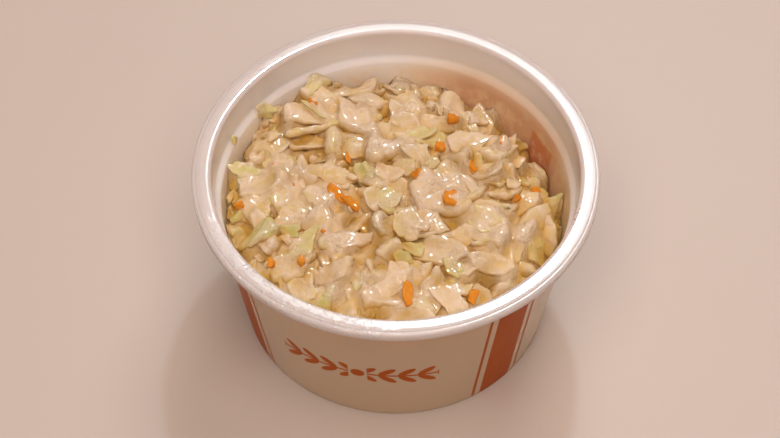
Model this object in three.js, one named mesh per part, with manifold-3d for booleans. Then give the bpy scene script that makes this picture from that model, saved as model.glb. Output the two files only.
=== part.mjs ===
// A tub of coleslaw: a round plastic cup with a lid flange, filled with a heap of chopped cabbage and carrot in
// dressing. A leaf of the heap stands against the wall, and a scrap of cabbage is left on the ledge above it.
// Millimetres, +Z up. The origin is the centre of the circle that the cup stands on, and the heap is low on the
// right (+X) and at the back (+Y).
import * as THREE from "three";
import { mergeVertices } from "three/addons/utils/BufferGeometryUtils.js";
import Module from "manifold-3d";

const wasm = await Module();
wasm.setup();

// Cup: driving dimensions
const CUP_HEIGHT = 48;
const CUP_SEGMENTS = 72;
const FLANGE_RADIUS = 47.5;
const FLANGE_INNER_RADIUS = 44;
const FLANGE_THICKNESS = 0.9;
const SKIRT_DEPTH = 2.3;
const SKIRT_THICKNESS = 1;
const EDGE_ROUNDING = 0.7;
const BEAD_INNER_RADIUS = 46.5;
const BEAD_DROP = 0.25;
const LIP_ROUNDING = 1.1;
const NECK_RADIUS = 43.9;
const BASE_RADIUS = 37.4;
const BASE_ROUNDING = 1;
const STANDING_RING = 3.2;
const BASE_RECESS = 1.2;
const FLOOR_THICKNESS = 0.9;
const FLOOR_ROUNDING = 2.5;
const FLOOR_RADIUS = 36.5;
const LEDGE_DEPTH = 9.6;
const LEDGE_RISE = 2.1;
const LEDGE_WIDTH = 1.4;
const LEDGE_RADIUS = 41.1;

// Heap: driving dimensions
const HEAP_CLEARANCE = 0.35;
const HEAP_SEGMENTS = 24;
const HEAP_RINGS = 6;
const CORE_DEPTH = 11.9;
const CORE_DOME = 2.4;
const CORE_SLUMP = 8;
const EDGE_DROP = 2.6;
const SLUMP_TOWARDS = THREE.MathUtils.degToRad(38);
const HEADROOM = 5.2;
const SMALLEST_DETAIL = 0.25;
const SEED = 20;

// Low mounds and dips of the heap: centre x and y, radius and height
const MOUNDS = [
  { x: -21, y: 31, radius: 10, height: 5.5 },
  { x: 14, y: 8, radius: 11, height: 1.8 },
  { x: -26, y: -10, radius: 10, height: 1.2 },
  { x: 4, y: -26, radius: 12, height: 1.4 },
  { x: -9, y: 7, radius: 7, height: -1.8 },
  { x: 22, y: -25, radius: 8, height: -2 },
  { x: 38, y: 16, radius: 8.5, height: -15 },
];

// Chopped pieces: how many of each kind, their reach from the cup's axis, sizes, and how far they stand on the core
const KINDS = {
  chunk: { count: 60, reach: 38.8, size: 4.9, spread: 0.8, thickness: 3, lift: 1.3, tilt: 26 },
  flake: { count: 40, reach: 36.5, size: 3.9, spread: 0.8, thickness: 2.2, lift: 2.7, tilt: 34 },
  shred: { count: 26, reach: 35, size: 11, spread: 2.5, thickness: 2.3, lift: 3.2, tilt: 18 },
  carrot: { count: 12, reach: 34, size: 4.2, spread: 0.8, thickness: 2, lift: 3.9, tilt: 40 },
};
const FLAKE_SIDES = 5;
const SHRED_WIDTH = 3.2;
const SHRED_STEPS = 2;
const CARROT_WIDTH = 2.3;
const GOLDEN_ANGLE = Math.PI * (3 - Math.sqrt(5));

// A repeatable stream of numbers from 0 to 1
function randomStream(seed) {
  let state = seed >>> 0;
  return () => {
    state = (state + 0x6d2b79f5) >>> 0;
    let mixed = Math.imul(state ^ (state >>> 15), 1 | state);
    mixed = (mixed + Math.imul(mixed ^ (mixed >>> 7), 61 | mixed)) ^ mixed;
    return ((mixed ^ (mixed >>> 14)) >>> 0) / 4294967296;
  };
}
const random = randomStream(SEED);
const between = (low, high) => low + (high - low) * random();

// Points on an arc in the profile's plane, from one angle to another in degrees
function arc(centreR, centreZ, radius, fromDeg, toDeg, steps) {
  const points = [];
  for (let i = 0; i <= steps; i++) {
    const angle = THREE.MathUtils.degToRad(fromDeg + ((toDeg - fromDeg) * i) / steps);
    points.push([centreR + radius * Math.cos(angle), centreZ + radius * Math.sin(angle)]);
  }
  return points;
}

// A soft step: from one point to another along a cosine curve in height
function softStep([fromR, fromZ], [toR, toZ], steps) {
  const points = [];
  for (let i = 0; i <= steps; i++) {
    const share = i / steps;
    const ease = (1 - Math.cos(Math.PI * share)) / 2;
    points.push([fromR + (toR - fromR) * ease, fromZ + (toZ - fromZ) * share]);
  }
  return points;
}

// A profile of [radius, z] points, anticlockwise round the material, turned about Z
function turned(profile, segments) {
  const points = profile.map(([r, z]) => new THREE.Vector2(Math.max(r, 0), z));
  return new THREE.LatheGeometry(points, segments).rotateX(Math.PI / 2);
}

// The inside face of the cup from the floor up to the ledge, as radius at a height
function innerRadius(z) {
  const floorZ = BASE_RECESS + FLOOR_THICKNESS;
  const share = (z - floorZ) / (CUP_HEIGHT - LEDGE_DEPTH - floorZ);
  return FLOOR_RADIUS + (LEDGE_RADIUS - FLOOR_RADIUS) * share;
}

function cupGeometry() {
  const top = CUP_HEIGHT;
  const skirtZ = top - SKIRT_DEPTH;
  const beadTop = top - BEAD_DROP;
  const floorZ = BASE_RECESS + FLOOR_THICKNESS;
  const ledgeZ = top - LEDGE_DEPTH;
  const grooveRadius = FLANGE_RADIUS - SKIRT_THICKNESS;
  const profile = [
    [0, BASE_RECESS],
    [BASE_RADIUS - STANDING_RING - BASE_RECESS, BASE_RECESS],
    [BASE_RADIUS - STANDING_RING, 0],
    ...arc(BASE_RADIUS - BASE_ROUNDING, BASE_ROUNDING, BASE_ROUNDING, -90, -6, 3),
    [NECK_RADIUS, top - FLANGE_THICKNESS],
    [grooveRadius, top - FLANGE_THICKNESS],
    [grooveRadius, skirtZ],
    [FLANGE_RADIUS, skirtZ],
    ...arc(FLANGE_RADIUS - EDGE_ROUNDING, beadTop - EDGE_ROUNDING, EDGE_ROUNDING, 0, 90, 3),
    [BEAD_INNER_RADIUS, beadTop],
    [BEAD_INNER_RADIUS - BEAD_DROP, top],
    ...arc(FLANGE_INNER_RADIUS, top - LIP_ROUNDING, LIP_ROUNDING, 90, 176, 3),
    ...softStep([LEDGE_RADIUS + LEDGE_WIDTH, ledgeZ + LEDGE_RISE], [LEDGE_RADIUS, ledgeZ], 4),
    [innerRadius(floorZ + FLOOR_ROUNDING), floorZ + FLOOR_ROUNDING],
    [FLOOR_RADIUS - 0.7, floorZ + 0.6],
    [FLOOR_RADIUS - FLOOR_ROUNDING, floorZ],
    [0, floorZ],
  ];
  return turned(profile, CUP_SEGMENTS);
}

// A closed geometry as a solid that can be joined and cut
function solidOf(geometry) {
  const bare = geometry.clone();
  bare.deleteAttribute("normal");
  bare.deleteAttribute("uv");
  const merged = mergeVertices(bare, 1e-4);
  const mesh = new wasm.Mesh({
    numProp: 3,
    vertProperties: new Float32Array(merged.attributes.position.array),
    triVerts: new Uint32Array(merged.index.array),
  });
  return new wasm.Manifold(mesh);
}

function geometryOf(solid) {
  const mesh = solid.getMesh();
  const geometry = new THREE.BufferGeometry();
  geometry.setAttribute("position", new THREE.BufferAttribute(mesh.vertProperties, 3));
  geometry.setIndex(new THREE.BufferAttribute(mesh.triVerts, 1));
  geometry.computeVertexNormals();
  return geometry;
}

// Height of the heap's core at a place: a low dome with mounds, slumped on one side near the wall
function coreLevel(x, y) {
  const share = Math.min(1, Math.hypot(x, y) / LEDGE_RADIUS);
  const towards = (1 + Math.cos(Math.atan2(y, x) - SLUMP_TOWARDS)) / 2;
  let level = CUP_HEIGHT - CORE_DEPTH + CORE_DOME * (1 - share * share);
  level -= CORE_SLUMP * towards ** 2 * share ** 4 + EDGE_DROP * share ** 12;
  for (const mound of MOUNDS) {
    const away = Math.hypot(x - mound.x, y - mound.y) / mound.radius;
    level += mound.height * Math.exp(-away * away);
  }
  return level;
}

// The room that the heap may fill: the cup's inside, less a clearance
function roomGeometry() {
  const floorZ = BASE_RECESS + FLOOR_THICKNESS + HEAP_CLEARANCE;
  const ledgeZ = CUP_HEIGHT - LEDGE_DEPTH;
  const profile = [
    [0, floorZ],
    [FLOOR_RADIUS - FLOOR_ROUNDING - HEAP_CLEARANCE, floorZ],
    [innerRadius(floorZ + FLOOR_ROUNDING) - HEAP_CLEARANCE, floorZ + FLOOR_ROUNDING],
    [LEDGE_RADIUS - HEAP_CLEARANCE, ledgeZ],
    [LEDGE_RADIUS + LEDGE_WIDTH - HEAP_CLEARANCE, ledgeZ + LEDGE_RISE + HEAP_CLEARANCE],
    [LEDGE_RADIUS + LEDGE_WIDTH - HEAP_CLEARANCE, CUP_HEIGHT],
    [0, CUP_HEIGHT],
  ];
  return turned(profile, CUP_SEGMENTS);
}

// The heap's core: the cup's filling up to coreLevel
function coreGeometry() {
  const floorZ = BASE_RECESS + FLOOR_THICKNESS + HEAP_CLEARANCE;
  const brimZ = CUP_HEIGHT;
  const gap = HEAP_CLEARANCE * 2;
  const profile = [
    [0, floorZ],
    [FLOOR_RADIUS - FLOOR_ROUNDING - gap, floorZ],
    [innerRadius(floorZ + FLOOR_ROUNDING) - gap, floorZ + FLOOR_ROUNDING],
  ];
  for (let ring = HEAP_RINGS; ring >= 0; ring--) {
    profile.push([(LEDGE_RADIUS - gap) * (ring / HEAP_RINGS), brimZ]);
  }
  const geometry = turned(profile, HEAP_SEGMENTS);
  const position = geometry.attributes.position;
  for (let i = 0; i < position.count; i++) {
    if (position.getZ(i) < brimZ - 1) continue;
    const x = position.getX(i);
    const y = position.getY(i);
    const level = coreLevel(x, y);
    const rim = Math.min(1, (innerRadius(level) - gap) / Math.max(Math.hypot(x, y), 1e-6));
    position.setXYZ(i, x * rim, y * rim, level);
  }
  return geometry;
}

// An irregular flake: an uneven polygon with thickness, bent across, both faces split alike
function flakeGeometry(size, thickness) {
  const aspect = between(0.66, 1);
  const bend = between(-1, 1) * 0.16 * size;
  const turn = between(0, Math.PI);
  const corners = [];
  for (let i = 0; i < FLAKE_SIDES; i++) {
    const angle = (2 * Math.PI * (i + between(-0.2, 0.2))) / FLAKE_SIDES;
    const radius = size * between(0.75, 1.15);
    corners.push([radius * Math.cos(angle), radius * Math.sin(angle) * aspect, bend * Math.cos(2 * angle + turn)]);
  }
  const below = corners.map(([x, y, z]) => [x, y, z - thickness / 2]);
  const above = corners.map(([x, y, z]) => [x * 0.9, y * 0.9, z + thickness / 2]);
  const faces = [];
  for (let i = 0; i < FLAKE_SIDES; i++) {
    const next = (i + 1) % FLAKE_SIDES;
    faces.push(i, next, FLAKE_SIDES + next, i, FLAKE_SIDES + next, FLAKE_SIDES + i);
    if (i > 1) faces.push(0, i, i - 1, FLAKE_SIDES, FLAKE_SIDES + i - 1, FLAKE_SIDES + i);
  }
  const geometry = new THREE.BufferGeometry();
  geometry.setAttribute("position", new THREE.Float32BufferAttribute([...below, ...above].flat(), 3));
  return geometry.setIndex(faces);
}

// A shred: a strip that bends and narrows along its length
function shredGeometry(length, width, thickness) {
  const geometry = new THREE.BoxGeometry(length, width, thickness, SHRED_STEPS, 1, 1);
  const bend = between(-1.4, 1.4);
  const sway = between(-1.6, 1.6);
  const taper = between(0.15, 0.5);
  const position = geometry.attributes.position;
  for (let i = 0; i < position.count; i++) {
    const along = (2 * position.getX(i)) / length;
    const narrow = 1 - taper * (along + 1) / 2;
    position.setXYZ(
      i,
      position.getX(i),
      position.getY(i) * narrow + sway * along * along,
      position.getZ(i) * narrow + bend * (1 - along * along),
    );
  }
  return geometry;
}

const MAKERS = {
  chunk: (size, thickness) => flakeGeometry(size, thickness),
  flake: (size, thickness) => flakeGeometry(size, thickness),
  shred: (size, thickness) => shredGeometry(size, SHRED_WIDTH, thickness),
  carrot: (size, thickness) => shredGeometry(size, CARROT_WIDTH, thickness),
};

// Lays a piece on the core, turned at random and tilted off the slope, no higher than the headroom allows
function laid(geometry, x, y, kind) {
  const step = 0.5;
  const slopeX = (coreLevel(x + step, y) - coreLevel(x - step, y)) / (2 * step);
  const slopeY = (coreLevel(x, y + step) - coreLevel(x, y - step)) / (2 * step);
  const normal = new THREE.Vector3(-slopeX, -slopeY, 1).normalize();
  const tilt = THREE.MathUtils.degToRad(kind.tilt);
  const turn = new THREE.Euler(between(-tilt, tilt), between(-tilt, tilt), between(0, 2 * Math.PI), "ZYX");
  const lean = new THREE.Quaternion().setFromUnitVectors(new THREE.Vector3(0, 0, 1), normal);
  const matrix = new THREE.Matrix4().makeRotationFromQuaternion(
    lean.multiply(new THREE.Quaternion().setFromEuler(turn)),
  );
  geometry.applyMatrix4(matrix);
  const height = coreLevel(x, y) + kind.lift * between(0.7, 1.25);
  geometry.computeBoundingBox();
  const tallest = CUP_HEIGHT - HEADROOM - geometry.boundingBox.max.z;
  return geometry.translate(x, y, Math.min(height, tallest));
}

// One kind of piece, spread evenly over the heap on a spiral with a little scatter
function scattered(name, start) {
  const kind = KINDS[name];
  const solids = [];
  for (let i = 0; i < kind.count; i++) {
    const radius = kind.reach * Math.sqrt((i + 0.5) / kind.count);
    const angle = start + i * GOLDEN_ANGLE;
    const x = radius * Math.cos(angle) + between(-1.2, 1.2);
    const y = radius * Math.sin(angle) + between(-1.2, 1.2);
    const size = kind.size + between(-1, 1) * kind.spread;
    solids.push(solidOf(laid(MAKERS[name](size, kind.thickness), x, y, kind)));
  }
  return solids;
}

// A leaf scrap standing against the wall: its middle's angle round the cup, radius, height, and its size
function wallScrap({ angle, radius, z, width, height, thickness, lean }) {
  const geometry = new THREE.BoxGeometry(thickness, width, height, 1, 2, 2);
  const position = geometry.attributes.position;
  for (let i = 0; i < position.count; i++) {
    const across = (2 * position.getY(i)) / width;
    const up = (2 * position.getZ(i)) / height;
    position.setX(i, position.getX(i) + 0.18 * (1 - across * across));
    position.setY(i, position.getY(i) * (1 - 0.2 * up) + 0.5 * up * up);
    position.setZ(i, position.getZ(i) * (1 - 0.22 * across));
  }
  return geometry.rotateY(lean).translate(radius, 0, z).rotateZ(angle);
}

const WALL_LEAF = {
  angle: THREE.MathUtils.degToRad(141),
  radius: 40.6,
  z: CUP_HEIGHT - 9.4,
  width: 5.4,
  height: 5.6,
  thickness: 1,
  lean: 0.2,
};
const LEDGE_SCRAP = {
  angle: THREE.MathUtils.degToRad(160),
  radius: 40.9,
  z: CUP_HEIGHT - 6.9,
  width: 2.4,
  height: 3.6,
  thickness: 0.8,
  lean: 0.3,
};

// The heap: core and pieces joined, cut clear of the cup, without loose scraps or sealed hollows
function heapGeometry() {
  let heap = solidOf(coreGeometry());
  Object.keys(KINDS).forEach((name, i) => {
    for (const piece of scattered(name, i * 1.3)) heap = heap.add(piece);
  });
  heap = heap.add(solidOf(wallScrap(WALL_LEAF))).intersect(solidOf(roomGeometry()));
  const bodies = heap.simplify(SMALLEST_DETAIL).decompose();
  return geometryOf(bodies.sort((a, b) => b.volume() - a.volume())[0]);
}

const CUP_FINISH = new THREE.MeshStandardMaterial({ color: 0xeadfd4, roughness: 0.35, metalness: 0 });
const SLAW_FINISH = new THREE.MeshStandardMaterial({ color: 0xe2c79c, roughness: 0.4, metalness: 0 });
const SCRAP_FINISH = new THREE.MeshStandardMaterial({ color: 0xc9b565, roughness: 0.4, metalness: 0 });

function named(name, geometry, material) {
  const mesh = new THREE.Mesh(geometry, material);
  mesh.name = name;
  return mesh;
}

const coleslaw = new THREE.Group();
coleslaw.name = "coleslaw";
coleslaw.add(named("cup", cupGeometry(), CUP_FINISH));
coleslaw.add(named("slaw", heapGeometry(), SLAW_FINISH));
coleslaw.add(named("ledge_scrap", wallScrap(LEDGE_SCRAP), SCRAP_FINISH));

export default coleslaw;
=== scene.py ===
"""A printed plastic tub with a heap of wet chopped cabbage and carrot in it, on a pale floor.

Lengths are in millimetres until a mesh is made, and in metres for the floor and the lights. +Z is up, and the
camera looks down at the tub from the -Y side.
"""
import math

import bpy
import numpy as np
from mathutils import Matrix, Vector, noise
from mathutils.bvhtree import BVHTree


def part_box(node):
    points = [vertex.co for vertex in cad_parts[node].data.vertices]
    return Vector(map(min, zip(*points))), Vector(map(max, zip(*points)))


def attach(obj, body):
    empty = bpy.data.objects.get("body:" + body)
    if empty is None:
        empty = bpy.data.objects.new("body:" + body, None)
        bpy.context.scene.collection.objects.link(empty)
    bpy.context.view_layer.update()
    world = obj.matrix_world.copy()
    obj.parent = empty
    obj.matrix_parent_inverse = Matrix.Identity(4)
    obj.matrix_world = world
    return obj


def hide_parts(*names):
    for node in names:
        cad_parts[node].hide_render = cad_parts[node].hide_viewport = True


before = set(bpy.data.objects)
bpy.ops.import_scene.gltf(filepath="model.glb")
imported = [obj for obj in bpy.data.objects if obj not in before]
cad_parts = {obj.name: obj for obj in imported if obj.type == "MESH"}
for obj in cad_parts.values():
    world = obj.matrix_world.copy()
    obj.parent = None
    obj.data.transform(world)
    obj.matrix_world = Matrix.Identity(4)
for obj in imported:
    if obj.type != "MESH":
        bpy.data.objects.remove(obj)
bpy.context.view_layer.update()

MM = 0.001
BODY = "root"
SEED = 8


def box_mm(node):
    """The lowest and highest corner of a CAD node, in millimetres."""
    low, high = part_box(node)
    return np.array(low) / MM, np.array(high) / MM


# Camera, as fitted to the tub's outlines
FOCAL_PIXELS = 2000
PHOTO_WIDTH_PIXELS = 780
SENSOR_WIDTH = 36.0
CAMERA_PLACE = (0.0, -295.4, 406.6)
CAMERA_AIM = (-0.0028, 0.6155, -0.7882)


def add_camera():
    data = bpy.data.cameras.new("camera")
    data.sensor_width = SENSOR_WIDTH
    data.lens = SENSOR_WIDTH * FOCAL_PIXELS / PHOTO_WIDTH_PIXELS
    data.clip_start = 0.01
    camera = bpy.data.objects.new("camera", data)
    camera.location = Vector(CAMERA_PLACE) * MM
    camera.rotation_euler = Vector(CAMERA_AIM).to_track_quat("-Z", "Y").to_euler()
    bpy.context.scene.collection.objects.link(camera)
    bpy.context.scene.camera = camera


# Shader wiring
class Value:
    """A socket's number. Arithmetic on it adds Math nodes to its tree."""

    def __init__(self, finish, socket):
        self.finish = finish
        self.socket = socket

    def maths(self, operation, *others, clamp=False):
        settings = {"operation": operation, "use_clamp": clamp}
        return self.finish.node("ShaderNodeMath", settings, dict(enumerate((self, *others))))

    def __add__(self, other):
        return self.maths("ADD", other)

    __radd__ = __add__

    def __sub__(self, other):
        return self.maths("SUBTRACT", other)

    def __rsub__(self, other):
        return (self * -1) + other

    def __mul__(self, other):
        return self.maths("MULTIPLY", other)

    __rmul__ = __mul__

    def __truediv__(self, other):
        return self.maths("DIVIDE", other)

    def __abs__(self):
        return self.maths("ABSOLUTE")

    def wrapped(self, low, high):
        return self.maths("WRAP", high, low)

    def lowest(self, other):
        return self.maths("MINIMUM", other)

    def highest(self, other):
        return self.maths("MAXIMUM", other)

    def clamped(self):
        return self.maths("ADD", 0.0, clamp=True)

    def ramp(self, low, high):
        """0 below low, 1 above high, and an even slope between; falling where low is above high."""
        return ((self - low) / (high - low)).clamped()


class Finish:
    """A material: a Principled shader, others laid over it, and a method that adds any other node."""

    def __init__(self, name, constants):
        self.material = bpy.data.materials.new(name)
        self.material.use_nodes = True
        self.tree = self.material.node_tree
        self.shader = self.tree.nodes["Principled BSDF"]
        for socket, value in constants.items():
            self.shader.inputs[socket].default_value = value

    def connect(self, socket, value):
        if isinstance(value, Value):
            self.tree.links.new(value.socket, socket)
        else:
            socket.default_value = value

    def node(self, kind, settings=None, sockets=None, output=0):
        made = self.tree.nodes.new(kind)
        for name, value in (settings or {}).items():
            setattr(made, name, value)
        for name, value in (sockets or {}).items():
            self.connect(made.inputs[name], value)
        return Value(self, made.outputs[output])

    def place(self):
        """Object coordinates, in millimetres."""
        place = self.node("ShaderNodeTexCoord", output="Object")
        return self.node("ShaderNodeVectorMath", {"operation": "SCALE"}, {"Vector": place, "Scale": 1 / MM})

    def part(self, vector, axis):
        return self.node("ShaderNodeSeparateXYZ", sockets={"Vector": vector}, output=axis)

    def noise(self, place, size, detail=2.0, roughness=0.5):
        """Smooth noise from 0 to 1 whose lumps are about size millimetres across."""
        sockets = {"Vector": place, "Scale": 1 / size, "Detail": detail, "Roughness": roughness}
        return self.node("ShaderNodeTexNoise", sockets=sockets)

    def facing_down(self):
        """0 where the surface faces up, about a half sideways, and 1 where it faces down."""
        geometry = self.node("ShaderNodeNewGeometry", output="Normal")
        return self.part(geometry, "Z").ramp(0.6, -0.45)

    def attribute(self, name):
        return self.node("ShaderNodeAttribute", {"attribute_name": name}, output="Fac")

    def mixed(self, share, first, second):
        """A colour between two colours."""
        settings = {"data_type": "RGBA", "clamp_factor": True}
        colours = {0: share, 6: first, 7: second}
        return self.node("ShaderNodeMix", settings, colours, output=2)

    def bump(self, height, distance, strength=1.0):
        sockets = {"Height": height, "Distance": distance * MM, "Strength": strength}
        return self.node("ShaderNodeBump", sockets=sockets, output="Normal")

    def layer(self, share, over):
        """Another shader over the first, as far as the share goes."""
        layers = {0: share, 1: Value(self, self.shader.outputs[0]), 2: over}
        both = self.node("ShaderNodeMixShader", sockets=layers)
        self.connect(self.tree.nodes["Material Output"].inputs["Surface"], both)

    def cover(self, mask, **sockets):
        """A coat of another Principled shader, where the mask is 1."""
        named = {name.replace("_", " "): value for name, value in sockets.items()}
        self.layer(mask, self.node("ShaderNodeBsdfPrincipled", sockets=named))

    def let_through(self, share, tint):
        """Lets a share of the light pass through, tinted."""
        self.layer(share, self.node("ShaderNodeBsdfTranslucent", sockets={"Color": tint}))

    def feed(self, **values):
        for name, value in values.items():
            self.connect(self.shader.inputs[name.replace("_", " ")], value)
        return self.material


def colour(red, green, blue):
    return (red, green, blue, 1.0)


# Meshes
def make_piece(name, points, faces, material, attributes=None):
    """A smooth mesh piece from points in millimetres, which rides on the body."""
    mesh = bpy.data.meshes.new(name)
    mesh.from_pydata((points * MM).tolist(), [], faces)
    for key, values in (attributes or {}).items():
        mesh.attributes.new(key, "FLOAT", "POINT").data.foreach_set("value", values)
    mesh.shade_smooth()
    mesh.materials.append(material)
    piece = bpy.data.objects.new(name, mesh)
    bpy.context.scene.collection.objects.link(piece)
    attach(piece, BODY)
    return piece


def arc(centre_r, centre_z, radius, start, end, steps):
    """Points of a profile's arc, from one angle to another in degrees."""
    angles = np.radians(np.linspace(start, end, steps + 1))
    return [(centre_r + radius * math.cos(a), centre_z + radius * math.sin(a)) for a in angles]


def line(first, last, steps):
    """Points from one to another without the last."""
    shares = np.linspace(0, 1, steps, endpoint=False)
    return [tuple(np.array(first) * (1 - s) + np.array(last) * s) for s in shares]


# Tub
TUB_HIGH = box_mm("cup")[1]
FLANGE_RADIUS = TUB_HIGH[0]
TUB_TOP = TUB_HIGH[2]
TUB_SEGMENTS = 180
FLANGE_INNER_RADIUS = 44.0
FLANGE_THICKNESS = 0.9
SKIRT_DEPTH = 2.3
SKIRT_THICKNESS = 1.0
EDGE_ROUNDING = 0.7
BEAD_INNER_RADIUS = 46.5
BEAD_DROP = 0.25
LIP_ROUNDING = 1.1
NECK_RADIUS = 43.9
BASE_RADIUS = 37.4
BASE_ROUNDING = 1.0
STANDING_RING = 3.2
BASE_RECESS = 1.2
FLOOR_THICKNESS = 0.9
FLOOR_ROUNDING = 2.5
FLOOR_RADIUS = 36.5
LEDGE_DEPTH = 9.6
LEDGE_RISE = 2.1
LEDGE_WIDTH = 1.4
LEDGE_RADIUS = 41.1
LEDGE_LEVEL = TUB_TOP - LEDGE_DEPTH
INNER_FLOOR = BASE_RECESS + FLOOR_THICKNESS


def inner_radius(z):
    """The tub's inside radius at a height, up to the ledge."""
    return FLOOR_RADIUS + (LEDGE_RADIUS - FLOOR_RADIUS) * (z - INNER_FLOOR) / (LEDGE_LEVEL - INNER_FLOOR)


def ledge_profile():
    """The soft step of the stacking ledge, from its upper edge down."""
    points = []
    for share in np.linspace(0, 1, 9):
        ease = (1 - math.cos(math.pi * share)) / 2
        height = LEDGE_LEVEL + LEDGE_RISE * (1 - share)
        points.append((LEDGE_RADIUS + LEDGE_WIDTH * (1 - ease), height))
    return points


def outer_profile():
    """From the middle of the base out and up to the flange's underside."""
    neck = (NECK_RADIUS, TUB_TOP - FLANGE_THICKNESS)
    foot = arc(BASE_RADIUS - BASE_ROUNDING, BASE_ROUNDING, BASE_ROUNDING, -90, -6, 6)
    return [
        (0, BASE_RECESS),
        (BASE_RADIUS - STANDING_RING - 2 * BASE_RECESS, BASE_RECESS),
        (BASE_RADIUS - STANDING_RING - 0.3, 0.15),
        (BASE_RADIUS - STANDING_RING, 0),
        *foot,
        *line(foot[-1], neck, 12)[1:],
        neck,
    ]


def flange_profile():
    """Round the flange's skirt, bead and flat top to the inner lip."""
    skirt_z = TUB_TOP - SKIRT_DEPTH
    groove = FLANGE_RADIUS - SKIRT_THICKNESS
    bead_top = TUB_TOP - BEAD_DROP
    return [
        (groove, TUB_TOP - FLANGE_THICKNESS),
        (groove, skirt_z + 0.1),
        (groove + 0.1, skirt_z),
        (FLANGE_RADIUS - 0.15, skirt_z),
        (FLANGE_RADIUS, skirt_z + 0.15),
        *arc(FLANGE_RADIUS - EDGE_ROUNDING, bead_top - EDGE_ROUNDING, EDGE_ROUNDING, 0, 90, 7),
        (BEAD_INNER_RADIUS + 0.06, bead_top),
        (BEAD_INNER_RADIUS, bead_top + 0.03),
        (BEAD_INNER_RADIUS - 0.12, TUB_TOP - 0.03),
        (BEAD_INNER_RADIUS - 0.2, TUB_TOP),
        (FLANGE_INNER_RADIUS + 1.2, TUB_TOP),
        (FLANGE_INNER_RADIUS + 0.15, TUB_TOP),
        *arc(FLANGE_INNER_RADIUS, TUB_TOP - LIP_ROUNDING, LIP_ROUNDING, 90, 176, 8),
    ]


def inner_profile():
    """From the ledge down the inside wall to the middle of the floor."""
    corner = (inner_radius(INNER_FLOOR + FLOOR_ROUNDING), INNER_FLOOR + FLOOR_ROUNDING)
    ledge = ledge_profile()
    return [
        *ledge,
        *line(ledge[-1], corner, 10)[1:],
        corner,
        (FLOOR_RADIUS - 0.7, INNER_FLOOR + 0.6),
        (FLOOR_RADIUS - FLOOR_ROUNDING, INNER_FLOOR),
        (0, INNER_FLOOR),
    ]


def lathe(profile, segments):
    """Points and faces of a profile turned about Z; its first and last point lie on the axis."""
    angles = 2 * np.pi * np.arange(segments) / segments
    rings = np.array(profile[1:-1])
    ring_points = np.stack(
        [
            rings[:, 0:1] * np.cos(angles),
            rings[:, 0:1] * np.sin(angles),
            np.repeat(rings[:, 1:2], segments, axis=1),
        ],
        axis=2,
    )
    ends = np.array([[0, 0, profile[0][1]], [0, 0, profile[-1][1]]])
    points = np.concatenate([ends[:1], ring_points.reshape(-1, 3), ends[1:]])
    return points, ringed_faces(len(rings), segments)


def ringed_faces(rings, segments):
    """Faces of a closed skin: a first point, rings of points one after another, and a last point."""
    last = rings * segments + 1
    faces = []
    for i in range(segments):
        j = (i + 1) % segments
        faces.append((0, 1 + j, 1 + i))
        for ring in range(rings - 1):
            near, far = 1 + ring * segments, 1 + (ring + 1) * segments
            faces.append((near + i, near + j, far + j, far + i))
        end = last - segments
        faces.append((end + i, end + j, last))
    return faces


# The tub's print: four bands with a thin line on each side, and a leafy sprig on two of the panels between
INK, WORN_INK = colour(0.44, 0.085, 0.004), colour(0.48, 0.11, 0.012)
BAND_CENTRES = (-50.0, 28.0, 130.0, 208.0)
BAND_HALF_WIDTH = 4.6
PIN_OFFSET = 6.6
PIN_HALF_WIDTH = 0.35
SPRIG_CENTRES = (-102.5, 77.5)
SPRIG_HEIGHT = 21.0
SPRIG_HALF_LENGTH = 19.0
LEAF_PITCH = 4.6
LEAF_LENGTH = 2.5
LEAF_WIDTH = 0.95
LEAF_ANGLE = math.radians(38)
LEAF_MIDDLE = (LEAF_PITCH * 0.52, LEAF_LENGTH * 0.72)
STEM_HALF_WIDTH = 0.42
BERRY_RADIUS_SQUARED = 3.0
BERRY_GAP = 2.2
PRINT_EDGE = 0.12


def nearest_band(turn, radius):
    """The distance round the tub to the middle of the nearest band."""
    nearest = None
    for centre in BAND_CENTRES:
        away = abs((turn - math.radians(centre)).wrapped(-math.pi, math.pi)) * radius
        nearest = away if nearest is None else nearest.lowest(away)
    return nearest


def band_mask(away):
    """A broad band with a thin line on each side."""
    band = away.ramp(BAND_HALF_WIDTH + PRINT_EDGE, BAND_HALF_WIDTH)
    pin = abs(away - PIN_OFFSET).ramp(PIN_HALF_WIDTH + PRINT_EDGE, PIN_HALF_WIDTH)
    return band.highest(pin)


def sprig_mask(turn, radius, height):
    """A leafy sprig on each wide panel: paired leaves that point away from a berry in the middle."""
    mask = None
    rise = abs(height - SPRIG_HEIGHT)
    for centre in SPRIG_CENTRES:
        along = abs((turn - math.radians(centre)).wrapped(-math.pi, math.pi)) * radius
        step = along.wrapped(0, LEAF_PITCH)
        leaf_x = step - LEAF_MIDDLE[0]
        leaf_y = rise - LEAF_MIDDLE[1]
        lengthwise = (leaf_x * math.cos(LEAF_ANGLE) + leaf_y * math.sin(LEAF_ANGLE)) / LEAF_LENGTH
        across = (leaf_y * math.cos(LEAF_ANGLE) - leaf_x * math.sin(LEAF_ANGLE)) / LEAF_WIDTH
        leaf = (lengthwise * lengthwise + across * across).ramp(1.08, 0.95)
        stem = rise.ramp(STEM_HALF_WIDTH, STEM_HALF_WIDTH - PRINT_EDGE)
        berry = (along * along + rise * rise).ramp(BERRY_RADIUS_SQUARED, BERRY_RADIUS_SQUARED - 0.4)
        off_berry = along.ramp(BERRY_GAP, BERRY_GAP + 0.1)
        within = along.ramp(SPRIG_HALF_LENGTH + 0.1, SPRIG_HALF_LENGTH) * off_berry
        sprig = (leaf.highest(stem) * within).highest(berry)
        mask = sprig if mask is None else mask.highest(sprig)
    return mask


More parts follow.
